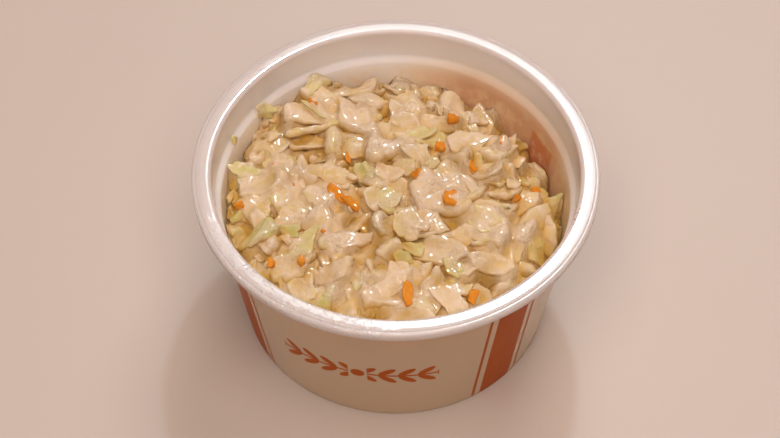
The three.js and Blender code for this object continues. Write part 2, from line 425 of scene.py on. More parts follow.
# The plastic's colours: its own white, painted shade outside, painted light inside, painted warm bounce light
# and painted shade on the inner wall, the outer bands painted as seen through the wall, and smears and specks
PLASTIC = colour(0.72, 0.69, 0.68)
# Painted shade: the outer wall darker and warmer than the flange's white
SHADED_SIDE = colour(0.62, 0.47, 0.31)
# Painted light: the inner wall lighter than the flange, standing in for light that comes through the wall
PAINTED_LIGHT_INSIDE = colour(0.97, 0.95, 0.92)
# Painted light: warm light bounced from the food onto the inner wall, stronger below the ledge
PAINTED_WARM_BOUNCE = colour(0.85, 0.65, 0.43)
# Painted shade: the inner wall at the right and back, above the food
SHADED_WALL = colour(0.71, 0.5, 0.32)
# Painted shade: the outer bands as they show through the lit wall, painted on the inside
BAND_PAINTED_THROUGH = colour(0.64, 0.27, 0.12)
SMEARED = colour(0.88, 0.74, 0.53)
SPECK = colour(0.3, 0.17, 0.08)
# Angles and half widths, in degrees, of the painted shade inside and of the flange's fine drops and dark
# specks
SHADE_TURN, SHADE_SPREAD = 42.0, 52.0
DROPS_TURN, DROPS_SPREAD = -125.0, 38.0
SPECKS_TURN, SPECKS_SPREAD = -19.0, 4.5
# Depths below the flange at which the painted shade, the bands painted as seen through the wall and the
# smears start and are full
SHADE_DEPTHS = (3, 12)
BAND_DEPTHS = (13.2, 14)
SMEAR_DEPTHS = (9, 14)
SPECKS_OUTER_RADIUS = 45.9


def near_turn(turn, centre, spread):
    """1 at an angle round the tub, falling to 0 at the spread on each side."""
    return abs((turn - math.radians(centre)).wrapped(-math.pi, math.pi)).ramp(math.radians(spread), 0)


def deeper_than(z, depths):
    """0 down to the first depth below the flange, and 1 from the second depth on."""
    return z.ramp(TUB_TOP - depths[0], TUB_TOP - depths[1])


def plastic_colour(finish, z, turn, away, mottle, smear):
    """White flange; painted shade outside; painted light inside; painted warm bounce, ledge highlight and
    right-hand shade inside; bands painted through; smears.
    """
    inside = finish.attribute("inside")
    white = finish.mixed(inside, finish.mixed(finish.attribute("outside"), PLASTIC, SHADED_SIDE), PAINTED_LIGHT_INSIDE)
    below = (z + mottle * 7).ramp(LEDGE_LEVEL + 5, LEDGE_LEVEL - 5)
    # Painted highlight: the ledge's rounded step is kept whiter than the wall round it
    ledge = abs(z - (LEDGE_LEVEL + 0.7)).ramp(2.4, 0.8) * inside
    # Painted warm bounce light from the food, stronger below the ledge and held back on the ledge
    warm = finish.mixed(inside * (0.08 + below * 0.42) * (1 - ledge * 0.7), white, PAINTED_WARM_BOUNCE)
    shade = near_turn(turn, SHADE_TURN, SHADE_SPREAD).ramp(0, 0.6) * deeper_than(z, SHADE_DEPTHS) * inside
    shaded = finish.mixed(shade, warm, SHADED_WALL)
    # Painted shade of the outer bands, as seen through the wall from inside
    through = away.ramp(BAND_HALF_WIDTH + 0.5, BAND_HALF_WIDTH - 0.5) * inside * deeper_than(z, BAND_DEPTHS)
    banded = finish.mixed(through * 0.85, shaded, BAND_PAINTED_THROUGH)
    return finish.mixed(smear * 0.55, banded, SMEARED)


def plastic_finish():
    """Glossy plastic that light soaks into, printed and smeared, with drops and specks on the flange."""
    constants = {
        "IOR": 1.49,
        "Coat Roughness": 0.1,
        "Subsurface Weight": 0.85,
        "Subsurface Radius": (1.0, 0.8, 0.65),
        "Subsurface Scale": 0.003,
    }
    finish = Finish("tub_plastic", constants)
    place = finish.place()
    x, y, z = (finish.part(place, axis) for axis in "XYZ")
    turn = y.maths("ARCTAN2", x)
    radius = (x * x + y * y).maths("SQRT")
    outside = finish.attribute("outside")
    inside = finish.attribute("inside")
    flange = (1 - outside) * (1 - inside)

    mottle = finish.noise(place, 9, 3)
    smear = finish.noise(place, 4.5, 4, 0.6).ramp(0.5, 0.62) * inside * deeper_than(z, SMEAR_DEPTHS)
    grain = finish.noise(place, 0.7, 2)
    drops = grain.ramp(0.52, 0.7) * near_turn(turn, DROPS_TURN, DROPS_SPREAD).ramp(0, 0.5) * flange
    flecks = finish.noise(place, 0.9, 2, 0.7).ramp(0.55, 0.6)
    specks_here = near_turn(turn, SPECKS_TURN, SPECKS_SPREAD).ramp(0, 0.3)
    specks = flecks * specks_here * radius.ramp(SPECKS_OUTER_RADIUS, SPECKS_OUTER_RADIUS - 0.4) * flange

    away = nearest_band(turn, radius)
    plain = plastic_colour(finish, z, turn, away, mottle, smear)
    ripple = finish.noise(place, 14, 1)
    normal = finish.bump(grain * 0.3 + ripple + drops * 6, 0.06, 0.5)
    finish.cover(
        band_mask(away).highest(sprig_mask(turn, radius, z)) * outside,
        Base_Color=finish.mixed(mottle, INK, WORN_INK),
        Roughness=0.35,
        Specular_IOR_Level=0.05,
        Normal=normal,
    )
    return finish.feed(
        Base_Color=finish.mixed(specks * 0.6, plain, SPECK),
        Roughness=mottle * 0.04 + smear * 0.12 + outside * 0.1 + 0.12,
        Coat_Weight=0.2,
        Normal=normal,
    )


def add_tub():
    """The tub as one lathed skin, whose attributes say which points lie outside and which inside."""
    outer, flange, inner = outer_profile(), flange_profile(), inner_profile()
    profile = outer + flange + inner
    points, faces = lathe(profile, TUB_SEGMENTS)
    zone = np.array([0.0] * len(outer) + [1.0] * len(flange) + [2.0] * len(inner))
    each = np.concatenate([zone[:1], np.repeat(zone[1:-1], TUB_SEGMENTS), zone[-1:]])
    attributes = {"outside": (each == 0).astype(float), "inside": (each == 2).astype(float)}
    tub = make_piece("tub", points, faces, plastic_finish(), attributes)
    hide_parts("cup")


# The grid of heights that pieces are laid on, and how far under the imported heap's surface laying starts
GRID_CELL = 0.5
GRID_HALF = 43.0
GRID_COUNT = int(2 * GRID_HALF / GRID_CELL)
BED_DEPTH = 6.0
# How far the pieces stay off the wall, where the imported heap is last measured, and how far in it calms them
WALL_CLEARANCE = 0.15
EDGE_REACH = LEDGE_RADIUS - 1.8
WALL_CALM = 6.0
# The steepest slope that a piece leans with
STEEPEST = 0.9
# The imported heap's surface: how many cells its tops spread, and how many times it is smoothed
TOP_SPREAD = 3
SURFACE_PASSES = 30
# Depth in the heap, as the colours use it for painted shade: it starts below the skin and is full at the full
# depth
TOP_SKIN = 0.6
FULL_DEPTH = 3.2


def grid_places():
    middle = (np.arange(GRID_COUNT) + 0.5) * GRID_CELL - GRID_HALF
    return np.meshgrid(middle, middle, indexing="ij")


def cell_of(x, y):
    i = np.clip(((x + GRID_HALF) / GRID_CELL).astype(int), 0, GRID_COUNT - 1)
    j = np.clip(((y + GRID_HALF) / GRID_CELL).astype(int), 0, GRID_COUNT - 1)
    return i, j


def level_at(levels, x, y):
    """Heights read off a grid between its cells' middles."""
    u = np.clip((x + GRID_HALF) / GRID_CELL - 0.5, 0, GRID_COUNT - 1.001)
    v = np.clip((y + GRID_HALF) / GRID_CELL - 0.5, 0, GRID_COUNT - 1.001)
    i, j = u.astype(int), v.astype(int)
    u, v = u - i, v - j
    near = levels[i, j] * (1 - v) + levels[i, j + 1] * v
    far = levels[i + 1, j] * (1 - v) + levels[i + 1, j + 1] * v
    return near * (1 - u) + far * u


def smoothed(levels, passes):
    """A grid of heights, averaged with its neighbours a number of times."""
    for _ in range(passes):
        padded = np.pad(levels, 1, mode="edge")
        sides = padded[:-2, 1:-1] + padded[2:, 1:-1] + padded[1:-1, :-2] + padded[1:-1, 2:]
        levels = (sides + 2 * levels) / 6
    return levels


def raised(levels, passes):
    """A grid of heights, each the highest of its neighbours, a number of times."""
    for _ in range(passes):
        padded = np.pad(levels, 1, mode="edge")
        sides = [padded[:-2, 1:-1], padded[2:, 1:-1], padded[1:-1, :-2], padded[1:-1, 2:]]
        levels = np.maximum.reduce([levels, *sides])
    return levels


def heap_surface():
    """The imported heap's upper surface, as heights on the grid, carried out level past its edge.

    Each height comes from a ray straight down, moved towards the middle until it meets the heap.
    """
    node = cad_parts["slaw"]
    points = [vertex.co / MM for vertex in node.data.vertices]
    tree = BVHTree.FromPolygons(points, [tuple(face.vertices) for face in node.data.polygons])
    levels = np.zeros((GRID_COUNT, GRID_COUNT))
    for i, j in np.ndindex(levels.shape):
        shrink = min(1.0, EDGE_REACH / GRID_RADIUS[i, j])
        hit = None
        while hit is None:
            above = Vector((GRID_X[i, j] * shrink, GRID_Y[i, j] * shrink, TUB_TOP + 10))
            hit = tree.ray_cast(above, Vector((0, 0, -1)))[0]
            shrink -= 0.01
        levels[i, j] = hit.z
    return smoothed(raised(levels, TOP_SPREAD), SURFACE_PASSES)


GRID_X, GRID_Y = grid_places()
GRID_RADIUS = np.hypot(GRID_X, GRID_Y)
PAST_WALL = GRID_RADIUS > LEDGE_RADIUS - 0.8


def waves(rng, points, length, height):
    """Smooth unevenness: a sum of plane waves whose lengths are near the one given."""
    total = np.zeros(len(points))
    for _ in range(5):
        way = rng.normal(0, 1, 3)
        way *= 2 * np.pi / length / rng.uniform(0.7, 1.5) / np.linalg.norm(way)
        total += np.sin(points @ way + rng.uniform(0, 2 * np.pi))
    return total * height / math.sqrt(5)


def warped(rng, points, length, height):
    """The points moved about smoothly in all three directions."""
    return points + np.stack([waves(rng, points, length, height) for _ in range(3)], axis=1)


def polygon_reach(rng, angles, corners, softness):
    """How far an uneven polygon with softened corners reaches at each angle, about 1."""
    shift = rng.uniform(-0.3, 0.3, corners)
    facing = 2 * np.pi * (np.arange(corners) + shift) / corners + rng.uniform(0, 6)
    distance = rng.uniform(0.6, 1.0, corners)
    toward = np.maximum(np.cos(angles[:, None] - facing), 0)
    return ((toward / distance) ** softness).sum(axis=1) ** (-1 / softness)


# A chopped piece's half section, as share of its reach and share of its half thickness
CHOP_SECTION = ((0.3, 1.0), (0.6, 1.0), (0.83, 0.99), (0.955, 0.8), (1.0, 0.0))


def chopped(rng, length, width, thickness, segments):
    """A chopped piece of leaf or stem: cut straight, torn at a corner, ribbed, bent and unevenly thick."""
    angles = 2 * np.pi * np.arange(segments) / segments
    # Outline: a polygon with one corner torn away and a slightly ragged edge
    reach = polygon_reach(rng, angles, rng.integers(4, 7), rng.uniform(18, 60))
    reach *= 1 - rng.uniform(0, 0.25) * np.exp(-(((angles - rng.uniform(0.5, 5.8)) / 0.3) ** 2))
    reach *= 1 + rng.normal(0, 0.028, segments)
    # Body: rings from the middle of the top to that of the underside, thicker towards one side
    under = [(share, -height) for share, height in reversed(CHOP_SECTION[:-1])]
    rings = np.array([*CHOP_SECTION, *under])
    x = np.r_[0, np.outer(rings[:, 0], reach * np.cos(angles)).ravel(), 0] * length / 2
    y = np.r_[0, np.outer(rings[:, 0], reach * np.sin(angles)).ravel(), 0] * width / 2
    height = np.r_[1, np.repeat(rings[:, 1], segments), -1]
    wedge = 1 + rng.uniform(-1.0, 1.0) * x / length + rng.uniform(-0.6, 0.6) * y / width
    z = height * thickness / 2 * wedge
    # Ribs that fan out, a cup or an arch, a twist and a skew
    pitch = rng.uniform(1.8, 3.2)
    fan = rng.uniform(-0.5, 0.5) * x / length
    z += 0.12 * np.sin(2 * np.pi * (y * (1 + fan) / pitch) + rng.uniform(0, 6))
    z += rng.uniform(-0.4, 0.7) * x * x / length + rng.uniform(-0.5, 0.8) * y * y / width
    z += rng.uniform(-0.5, 0.5) * x * y / length
    points = np.stack([x + rng.uniform(-0.35, 0.35) * y, y, z], axis=1)
    return warped(rng, warped(rng, points, 8.5, 0.05 * width), 2.6, 0.11)


def shredded(rng, length, width, thickness, rings, segments):
    """A shred: a flat strip that bends sideways and up, twists, and narrows to its ends."""
    along = np.linspace(-1, 1, rings + 2)
    taper = np.clip(1 - np.abs(along) ** rng.uniform(5, 12), 0, 1) ** 0.5
    sway = rng.uniform(-0.16, 0.16) * length * along**2 + rng.uniform(-0.1, 0.1) * length * along**3
    lift = rng.uniform(-0.05, 0.1) * length * (1 - along**2)
    twist = rng.uniform(-0.8, 0.8) * along + rng.uniform(-0.3, 0.3)
    around = 2 * np.pi * np.arange(segments) / segments
    across = np.sign(np.cos(around)) * np.abs(np.cos(around)) ** 0.6 * width / 2
    up = np.sign(np.sin(around)) * np.abs(np.sin(around)) ** 0.6 * thickness / 2
    lean = rng.uniform(-0.35, 0.35)
    points = [(-length / 2, sway[0], lift[0])]
    for k in range(1, rings + 1):
        cos, sin = math.cos(twist[k]), math.sin(twist[k])
        wide = taper[k] * (1 + lean * along[k])
        for a, u in zip(across * wide, up * taper[k]):
            points.append((along[k] * length / 2, sway[k] + a * cos - u * sin, lift[k] + a * sin + u * cos))
    points.append((length / 2, sway[-1], lift[-1]))
    return warped(rng, warped(rng, np.array(points), 5.0, 0.35), 1.9, 0.15)


class Kind:
    """One kind of piece: its rings, its sizes, how it lies, and the pieces laid so far."""

    def __init__(self, name, rings, segments, make, length, aspect, thickness, drape):
        self.name = name
        self.rings = rings
        self.segments = segments
        self.make = make
        self.length = length
        self.aspect = aspect
        self.thickness = thickness
        self.drape = drape
        self.faces = ringed_faces(rings, segments)
        outward = np.sin(np.pi * np.arange(1, rings + 1) / (rings + 1))
        self.rim = np.r_[0, np.repeat(outward**2, segments), 0]
        self.laid = []
        self.tones = []
        self.greens = []

    def sizes(self, rng):
        length = rng.uniform(*self.length)
        return length, length * rng.uniform(*self.aspect), rng.uniform(*self.thickness)

    def made(self, rng, length, width, thickness):
        if self.make is shredded:
            return shredded(rng, length, width, thickness, self.rings, self.segments)
        return chopped(rng, length, width, thickness, self.segments)

    def samples(self, points):
        """The points with others between each ring and the next, close enough to fill the grid."""
        rings = points[1:-1].reshape(self.rings, self.segments, 3)
        return np.concatenate([points, ((rings[:-1] + rings[1:]) / 2).reshape(-1, 3)])

    def keep(self, points, tone, green):
        self.laid.append(points)
        self.tones.append(np.full(len(points), tone))
        self.greens.append(green)

    def mesh(self):
        """All the pieces' points and faces in one."""
        count = len(self.laid[0])
        faces = [tuple(v + i * count for v in face) for i in range(len(self.laid)) for face in self.faces]
        return np.concatenate(self.laid), faces

    def attributes(self, heap):
        """What varies over the pieces: tone, greenness, nearness to the cut edge, and depth in the heap."""
        return {
            "tone": np.concatenate(self.tones),
            "green": np.concatenate(self.greens),
            "rim": np.tile(self.rim, len(self.laid)),
            "depth": heap.depth(np.concatenate(self.laid)),
        }


def turned(points, spin, normal):
    """The points spun about Z, then leaned so that Z follows a normal."""
    up = normal / np.linalg.norm(normal)
    side = np.cross((0.0, 1.0, 0.0), up)
    side /= np.linalg.norm(side)
    cos, sin = math.cos(spin), math.sin(spin)
    x, y, z = points.T
    spun = np.stack([x * cos - y * sin, x * sin + y * cos, z])
    return spun.T @ np.stack([side, np.cross(up, side), up])


def inside_wall(points):
    """A piece pushed in so that it isn't past the tub's wall."""
    for _ in range(3):
        wall = inner_radius(np.clip(points[:, 2], INNER_FLOOR, TUB_TOP - LEDGE_DEPTH)) - WALL_CLEARANCE
        wall += LEDGE_WIDTH * np.clip((points[:, 2] - TUB_TOP + LEDGE_DEPTH) / LEDGE_RISE, 0, 1) ** 2
        over = np.hypot(points[:, 0], points[:, 1]) - wall
        worst = int(np.argmax(over))
        if over[worst] > 0:
            points[:, :2] -= points[worst, :2] / np.linalg.norm(points[worst, :2]) * over[worst]
    return points


class Heap:
    """The growing heap, as the height of what lies at each cell of the grid."""

    def __init__(self, rng, target):
        self.rng = rng
        self.target = target
        self.levels = np.where(PAST_WALL, target, target - BED_DEPTH)

    def depth(self, points):
        """How far each point is under the heap's tops: 0 at the top, 1 at the full depth or more."""
        tops = smoothed(raised(self.levels, 3), 4)
        under = level_at(tops, points[:, 0], points[:, 1]) - points[:, 2] - TOP_SKIN
        return np.clip(under / FULL_DEPTH, 0, 1)

    def lowest_place(self, tries, reach):
        """Of some random places, the one that is furthest under the target."""
        radius = reach * np.sqrt(self.rng.uniform(0, 1, tries))
        angle = self.rng.uniform(0, 2 * np.pi, tries)
        x, y = radius * np.cos(angle), radius * np.sin(angle)
        room = smoothed(self.target - self.levels, 6)
        best = int(np.argmax(room[cell_of(x, y)]))
        return x[best], y[best]

    def lay(self, kind, points, x, y, spin, tilt, sink, proud):
        """Lays a piece on what is there; returns None where it would stand too proud of the target."""
        soft = smoothed(self.levels, 4)
        span = max(1.5, np.abs(points[:, 0]).max() * 0.7)
        place = np.array([x, x + span, x - span, x, x]), np.array([y, y, y, y + span, y - span])
        ground = level_at(soft, *place)
        rise_x, rise_y = (ground[1] - ground[2]) / span / 2, (ground[3] - ground[4]) / span / 2
        ease = max(1.0, math.hypot(rise_x, rise_y) / STEEPEST)
        rise_x, rise_y = rise_x / ease, rise_y / ease
        lean = self.rng.normal(0, tilt, 2)
        placed = turned(points, spin, np.array([lean[0] - rise_x, lean[1] - rise_y, 1.0])) + (x, y, 0)
        placed[:, 2] += ground[0]
        placed = inside_wall(placed)
        plane = ground[0] + rise_x * (placed[:, 0] - x) + rise_y * (placed[:, 1] - y)
        placed[:, 2] += kind.drape * (level_at(soft, placed[:, 0], placed[:, 1]) - plane)
        samples = kind.samples(placed)
        i, j = cell_of(samples[:, 0], samples[:, 1])
        placed[:, 2] += np.quantile(self.levels[i, j] - samples[:, 2], 1 - sink)
        middle = cell_of(placed[:, 0].mean(keepdims=True), placed[:, 1].mean(keepdims=True))
        if placed[:, 2].max() > self.target[middle][0] + proud:
            return None
        samples = kind.samples(placed)
        for di in (0, 1):
            for dj in (0, 1):
                near = (np.minimum(i + di, GRID_COUNT - 1), np.minimum(j + dj, GRID_COUNT - 1))
                np.maximum.at(self.levels, near, samples[:, 2])
        self.levels[PAST_WALL] = self.target[PAST_WALL]
        return placed


# The kinds: rings and segments, maker, length, width as a share of it, thickness, and how far it drapes
CHOPS = Kind("cabbage_chops", 9, 36, chopped, (8.5, 13), (0.55, 0.85), (2.2, 3.6), 0.25)
FLAKES = Kind("cabbage_flakes", 9, 36, chopped, (9, 14), (0.55, 0.85), (1.0, 1.6), 0.35)
SHREDS = Kind("cabbage_shreds", 12, 8, shredded, (9, 15), (0.25, 0.36), (1.6, 2.4), 0.35)
LEAVES = Kind("green_leaves", 9, 36, chopped, (6, 9), (0.55, 0.85), (0.8, 1.2), 0.4)
BITS = Kind("cabbage_bits", 9, 16, chopped, (3, 5.5), (0.55, 0.85), (1.0, 2.0), 0.3)
CARROTS = Kind("carrot_bits", 9, 16, chopped, (2, 4), (0.5, 0.8), (1.2, 1.8), 0.3)
# The order in which the kinds are tried in each layer, and how far under the surface the layers stay
LOWER_ORDER = [CHOPS, BITS, FLAKES, CHOPS, SHREDS]
UPPER_ORDER = [CHOPS, FLAKES, CHOPS, CHOPS, FLAKES, LEAVES, CHOPS, FLAKES, CHOPS, SHREDS]
COVER_ORDER = [FLAKES, CHOPS, FLAKES, LEAVES, FLAKES]
LOWER_DEPTH = 3.6
MIDDLE_DEPTH = 1.5
GAP_DEPTH = 0.8
# How far from the middle random pieces and the bits in the gaps are tried
PIECE_REACH = 40.4
GAP_REACH = 40.6
# How many places a random piece is tried in, and the least share that the wall leaves of how proud it may lie
PLACE_TRIES = 8
LEAST_PROUD = 0.2
# How much a chosen piece is tilted and how deep it sinks; it is laid however proud it lies
CHOSEN_TILT = 0.2
CHOSEN_SINK = 0.36
ANY_HEIGHT = 20
# How much room the layers leave for the pieces that stand out, as a share of their thickness, and the most
ROOM_SHARE = 0.8
MOST_ROOM = 3.0
CARROT_THICKNESS = 1.7
CARROT_SINK = 0.35


def place_random(heap, kind, proud, reach, tilt, sink):
    """Tries to lay one random piece where the heap is lowest."""
    rng = heap.rng
    points = kind.made(rng, *kind.sizes(rng))
    x, y = heap.lowest_place(PLACE_TRIES, reach)
    near_wall = np.clip((EDGE_REACH - math.hypot(x, y)) / WALL_CALM, LEAST_PROUD, 1)
    placed = heap.lay(kind, points, x, y, rng.uniform(0, 2 * np.pi), tilt, sink, proud * near_wall)
    if placed is not None:
        green = rng.uniform(-0.5, 0.8) + 0.4 * points[:, 0] / np.abs(points[:, 0]).max()
        kind.keep(placed, rng.uniform(0, 1), np.clip(green, 0, 1))


def place_chosen(heap, kind, x, y, spin, size, tone, green, sink=CHOSEN_SINK):
    """Lays one of the pieces that stand out, turned spin degrees from +X."""
    points = kind.made(heap.rng, *size)
    placed = heap.lay(kind, points, x, y, math.radians(spin), CHOSEN_TILT, sink, ANY_HEIGHT)
    kind.keep(placed, tone, np.full(len(points), green))


# Pieces that stand out: kind, place, turn, sizes, tone and greenness
STANDING_OUT = (
    (CHOPS, -18.5, 29.0, 170, (11.0, 8.5, 4.0), 0.1, 0.0),
    (CHOPS, -10.0, 21.0, 120, (13.5, 8.5, 3.2), 0.0, 0.0),
    (CHOPS, -23.5, 22.0, 20, (10.0, 8.0, 3.2), 0.3, 0.0),
    (FLAKES, -6.0, 27.5, 0, (12.0, 6.5, 1.8), 0.6, 0.1),
    (CHOPS, -31.0, 1.5, 0, (12.5, 8.5, 3.4), 0.2, 0.1),
    (CHOPS, -20.5, 3.0, 125, (9.5, 6.0, 2.8), 0.0, 0.0),
    (CHOPS, -3.5, 11.5, 90, (10.0, 8.5, 3.4), 0.2, 0.0),
    (CHOPS, 6.0, 9.0, 100, (9.0, 8.0, 3.0), 0.4, 0.0),
    (CHOPS, 14.5, 9.0, 30, (10.0, 9.0, 3.4), 0.1, 0.0),
    (CHOPS, 26.0, 16.0, 100, (10.0, 9.0, 3.2), 0.2, 0.0),
    (CHOPS, 9.5, 20.5, 170, (14.0, 8.0, 3.0), 0.1, 0.0),
    (FLAKES, 2.5, 22.0, 60, (9.0, 8.0, 2.0), 0.5, 0.0),
    (FLAKES, 22.0, 5.0, 0, (10.5, 7.5, 2.0), 1.0, 0.0),
    (CHOPS, 23.0, -6.0, 8, (13.5, 6.5, 3.2), 0.1, 0.0),
    (CHOPS, 10.5, -2.5, 150, (14.0, 12.0, 4.2), 0.0, 0.0),
    (FLAKES, -18.5, -11.0, 60, (9.0, 7.5, 2.0), 0.3, 0.0),
    (CHOPS, -29.0, -14.0, 105, (15.5, 6.2, 3.4), 0.0, 0.0),
    (FLAKES, -0.5, -12.0, 20, (12.5, 10.5, 2.0), 0.9, 0.8),
    (CHOPS, 9.5, -18.0, 155, (15.0, 9.0, 3.2), 0.3, 0.3),
    (CHOPS, 27.5, -15.0, 85, (13.5, 5.5, 3.0), 0.1, 0.0),
    (CHOPS, -10.5, -16.0, 0, (11.5, 5.0, 2.6), 0.2, 0.0),
    (CHOPS, -0.5, -20.5, 145, (11.0, 6.5, 2.8), 0.3, 0.1),
    (CHOPS, -14.0, -24.5, 170, (10.5, 8.0, 3.0), 0.1, 0.0),
    (CHOPS, 22.0, -20.5, 0, (12.0, 5.5, 2.6), 0.3, 0.0),
    (CHOPS, 8.5, -30.0, 30, (10.5, 8.5, 3.4), 0.5, 0.1),
    (CHOPS, 18.5, -29.5, 90, (8.5, 7.5, 3.0), 0.3, 0.1),
    (CHOPS, -2.0, -31.5, 0, (11.5, 8.5, 3.6), 0.1, 0.0),
    (FLAKES, 2.5, -35.5, 5, (12.0, 6.0, 1.8), 0.6, 0.0),
    (LEAVES, -36.0, -16.0, 60, (9.0, 6.0, 1.6), 0.9, 1.0),
    (LEAVES, -25.0, 8.0, 100, (4.5, 3.0, 1.2), 1.0, 1.0),
    (LEAVES, -17.0, -32.5, 60, (7.5, 5.5, 1.4), 0.6, 0.7),
    (LEAVES, 33.0, -14.0, 120, (8.0, 5.0, 1.4), 0.6, 0.6),
)
# Where the carrot bits show, with their turns, lengths and widths
CARROT_PLACES = (
    (13.5, 21.5, 80, 7.5, 4.2),
    (-20.0, 24.5, 150, 3.5, 1.2),
    (-11.5, 9.5, 110, 4.5, 1.4),
    (10.5, 11.5, 120, 3.4, 2.6),
    (18.0, 5.0, 100, 3.2, 2.4),
    (5.0, 2.0, 20, 3.4, 2.0),
    (-13.5, -2.5, 120, 8.5, 3.0),
    (-10.5, -6.0, 135, 6.0, 2.8),
    (13.0, -5.0, 110, 5.2, 4.0),
    (-36.5, -5.5, 10, 3.0, 1.8),
    (-16.5, -14.0, 90, 2.0, 1.6),
    (-21.5, -23.0, 80, 3.4, 2.2),
    (3.0, -32.0, 100, 6.6, 3.6),
    (17.5, -31.0, 90, 3.8, 2.6),
    (25.5, 13.5, 60, 3.2, 2.2),
    (-2.5, -37.0, 0, 3.4, 1.8),
    (-28.5, -22.0, 60, 2.2, 1.6),
    (28.5, -2.5, 60, 2.2, 1.4),
    (33.5, 4.5, 0, 3.0, 1.6),
    (-29.0, 6.0, 0, 1.6, 1.2),
    (-24.0, 0.0, 40, 1.8, 1.2),
)


def room_left():
    """How much lower the layers stay where the pieces that stand out will lie."""
    room = np.zeros_like(GRID_X)
    for _, x, y, _, (length, width, thickness), _, _ in STANDING_OUT:
        reach = (length + width) / 4
        room += ROOM_SHARE * thickness * np.exp(-(((GRID_X - x) ** 2 + (GRID_Y - y) ** 2) / reach**2))
    return np.minimum(room, MOST_ROOM)


def lay_layer(heap, tries, order, proud, tilt, sink, reach=PIECE_REACH):
    """Tries to lay random pieces, of the kinds in turn."""
    for step in range(tries):
        place_random(heap, order[step % len(order)], proud, reach, tilt, sink)


def fill_heap(heap):
    """Lays random layers, the pieces that stand out, a cover, bits in the gaps, carrots and the last bits."""
    whole = heap.target
    room = room_left()
    heap.target = whole - LOWER_DEPTH
    lay_layer(heap, 300, LOWER_ORDER, proud=0.8, tilt=0.35, sink=0.3)
    for depth in (MIDDLE_DEPTH, 0.0):
        heap.target = whole - depth - room
        lay_layer(heap, 380, UPPER_ORDER, proud=1.5, tilt=0.42, sink=0.34)
    for kind, *piece in STANDING_OUT:
        place_chosen(heap, kind, *piece)
    heap.target = whole
    lay_layer(heap, 300, COVER_ORDER, proud=0.9, tilt=0.3, sink=0.45)
    heap.target = whole - GAP_DEPTH
    lay_layer(heap, 450, [BITS], proud=0.0, tilt=0.5, sink=0.3, reach=GAP_REACH)
    heap.target = whole
    for x, y, spin, length, width in CARROT_PLACES:
        tone = heap.rng.uniform(0, 1)
        place_chosen(heap, CARROTS, x, y, spin, (length, width, CARROT_THICKNESS), tone, 0.0, CARROT_SINK)
    lay_layer(heap, 16, [BITS], proud=0.9, tilt=0.25, sink=0.4)


# The leaf that stands against the wall: angle round the tub, height, swing, lean, spin and sizes
WALL_LEAF = (143.0, 39.6, 32.0, 0.5, 30.0, (7.4, 6.2, 1.0))
WALL_LEAF_TONE, WALL_LEAF_GREEN = 0.5, 0.6
# The scrap on the ledge: swing, lean, spin and sizes; its angle and height come from its node
SCRAP_LIE = (0.0, 0.2, 12.0, (4.0, 2.4, 0.8))
SCRAP_TONE, SCRAP_GREEN = 0.6, 0.8


def against_wall(rng, angle, height, swing, lean, spin, size):
    """A thin leaf that stands against the tub's wall, swung round by some degrees and leaned back."""
    outward = math.radians(angle)
    swung = outward - math.radians(swing)
    facing = np.array([-math.cos(swung), -math.sin(swung), lean])
    points = turned(chopped(rng, *size, LEAVES.segments), math.radians(spin), facing)
    x, y = FLANGE_INNER_RADIUS * math.cos(outward), FLANGE_INNER_RADIUS * math.sin(outward)
    return inside_wall(points + (x, y, height))


def add_scrap(rng, finish):
    """The scrap of cabbage that clings to the ledge, apart from the heap."""
    low, high = box_mm("ledge_scrap")
    middle = (low + high) / 2
    angle = math.degrees(math.atan2(middle[1], middle[0]))
    points = against_wall(rng, angle, middle[2], *SCRAP_LIE)
    whole = np.ones(len(points))
    attributes = {
        "tone": whole * SCRAP_TONE,
        "green": whole * SCRAP_GREEN,
        "rim": LEAVES.rim,
        "depth": np.zeros(len(points)),
    }
    piece = make_piece("scrap_of_cabbage", points, LEAVES.faces, finish, attributes)
    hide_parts("ledge_scrap")


# Wet food shines by its coat alone, and some light passes through it
FOOD_CONSTANTS = {"Specular IOR Level": 0.0, "Coat Roughness": 0.07, "Coat IOR": 1.4}
GLOW = 0.28
GLOW_TINT = colour(1.0, 0.88, 0.64)
DRESSING = colour(0.99, 0.88, 0.71)
# Painted shade deep in the heap and under the cabbage; on the carrots, the colour of their wet film
SOAKED_AND_PAINTED_SHADE = colour(0.74, 0.48, 0.11)
CREAM, STRAW = colour(0.96, 0.82, 0.57), colour(0.88, 0.73, 0.33)
PALE_GREEN, LEAF_GREEN = colour(0.76, 0.75, 0.3), colour(0.52, 0.63, 0.16)
YOUNG_LEAF = colour(0.86, 0.82, 0.42)
THIN_CREAM, THIN_STRAW = colour(0.94, 0.81, 0.57), colour(0.88, 0.72, 0.4)
CARROT, PALE_CARROT = colour(0.7, 0.21, 0.012), colour(0.78, 0.34, 0.045)


